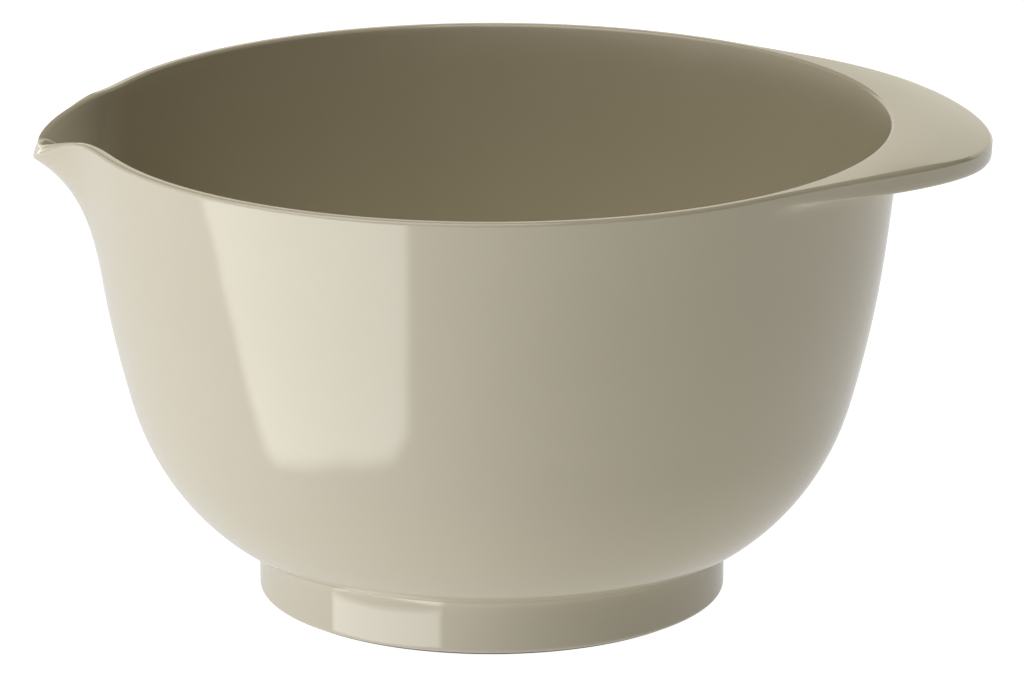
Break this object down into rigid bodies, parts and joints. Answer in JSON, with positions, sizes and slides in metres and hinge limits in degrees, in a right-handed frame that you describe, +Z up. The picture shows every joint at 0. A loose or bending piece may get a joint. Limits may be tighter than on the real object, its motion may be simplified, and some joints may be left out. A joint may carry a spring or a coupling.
{
  "type": "mixing bowl",
  "caption": "Deep round mixing bowl with a pouring spout, a crescent grip opposite it, a hollow foot and a removable anti-slip ring under the foot.",
  "frame": {"origin": "on the axis of the round bowl, in the plane of the anti-slip ring's underside, which the bowl stands on", "axes": "+Z up along the bowl's axis, +X towards the crescent grip, the spout points along -X"},
  "size_m": [0.2809, 0.2406, 0.1434],
  "materials": {
    "melamine": "high gloss, moulded",
    "ring_rubber": "matt, moulded"
  },
  "bodies": {
    "bowl": {"bowl_shell": "melamine"},
    "ring": {"anti_slip_ring": "ring_rubber"}
  },
  "joints": [
    {"name": "ring_pull_off", "type": "slide", "parent": "bowl", "child": "ring", "axis": [0, 0, -1], "range_m": [0, 0.025]}
  ]
}
